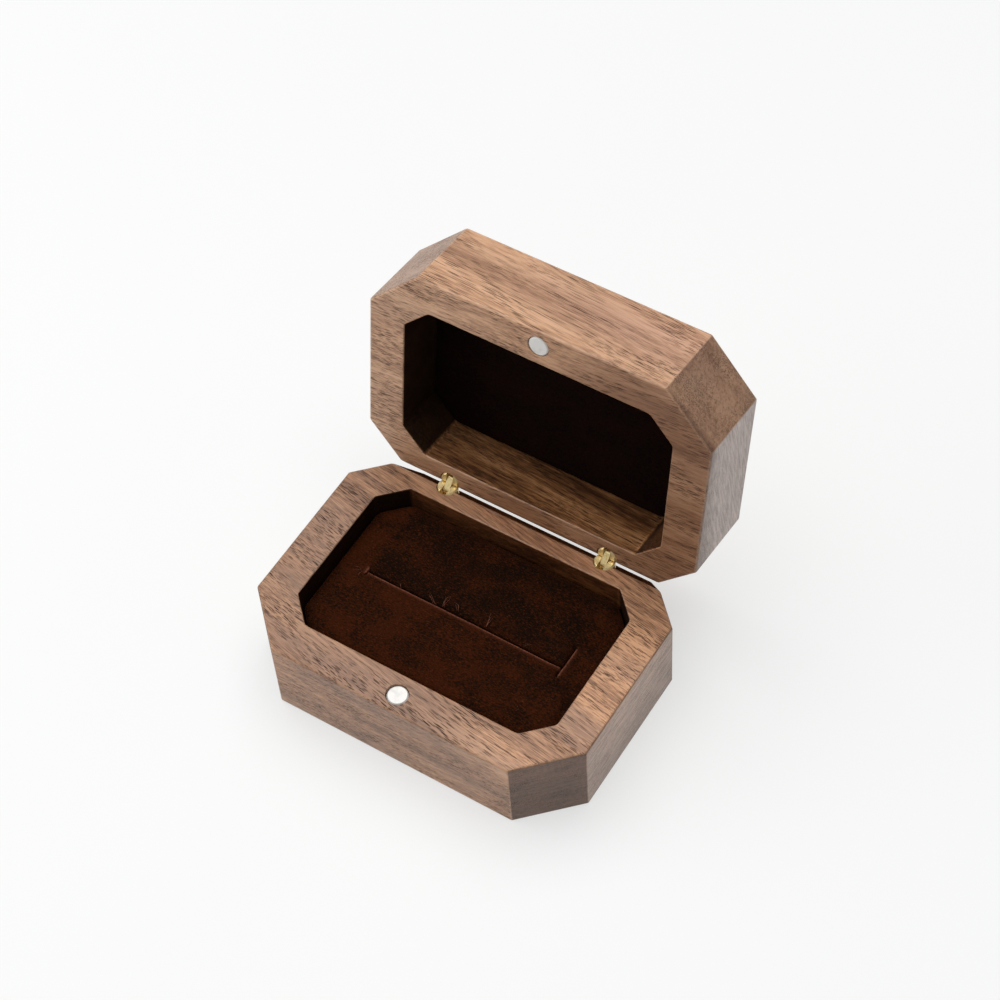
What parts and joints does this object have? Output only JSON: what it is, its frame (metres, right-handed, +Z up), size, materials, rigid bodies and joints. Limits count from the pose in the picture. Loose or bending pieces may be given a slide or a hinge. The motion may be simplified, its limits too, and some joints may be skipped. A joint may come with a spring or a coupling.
{
  "type": "ring display box",
  "caption": "Eight-sided wooden ring display box, open: two hollowed halves on barrel hinges with magnets, a slit velvet cushion and a velvet-lined lid.",
  "frame": {"origin": "middle of the flat underside of the lower half", "axes": "+X along the box's long side, +Y to the hinges at the back, +Z up; the lid is at its rest, open"},
  "size_m": [0.07, 0.0708, 0.0639],
  "materials": {
    "walnut": "oiled dark brown walnut with straight grain along the box",
    "velvet": "short-pile dark chocolate velvet",
    "foam": "soft grey-beige foam, hidden under the velvet",
    "card": "plain brown card, hidden under the cushion and lining",
    "brass": "satin turned brass",
    "magnet": "nickel-plated disc magnet, satin"
  },
  "bodies": {
    "base": {"base_body": "walnut", "cushion_cover": "velvet", "cushion_foam_front": "foam", "cushion_foam_rear": "foam", "cushion_card_board": "card", "base_magnet": "magnet", "left_base_barrel": "brass", "right_base_barrel": "brass", "left_base_pin": "brass", "right_base_pin": "brass"},
    "hinge_links": {"left_link": "brass", "right_link": "brass"},
    "lid": {"lid_body": "walnut", "lining_cover": "velvet", "lining_foam": "foam", "lining_card_board": "card", "lid_magnet": "magnet", "left_lid_barrel": "brass", "right_lid_barrel": "brass", "left_lid_pin": "brass", "right_lid_pin": "brass"}
  },
  "joints": [
    {"name": "link_swing", "type": "hinge", "parent": "base", "child": "hinge_links", "pos_m": [0, 0.0215, 0.0165], "axis": [1, 0, 0], "range_deg": [0, 49.65]},
    {"name": "lid_swing", "type": "hinge", "parent": "hinge_links", "child": "lid", "pos_m": [0, 0.0231, 0.01786], "axis": [1, 0, 0], "range_deg": [0, 49.65]}
  ],
  "couplings": [
    {"joint": "lid_swing", "follows": "link_swing", "ratio": 1}
  ]
}
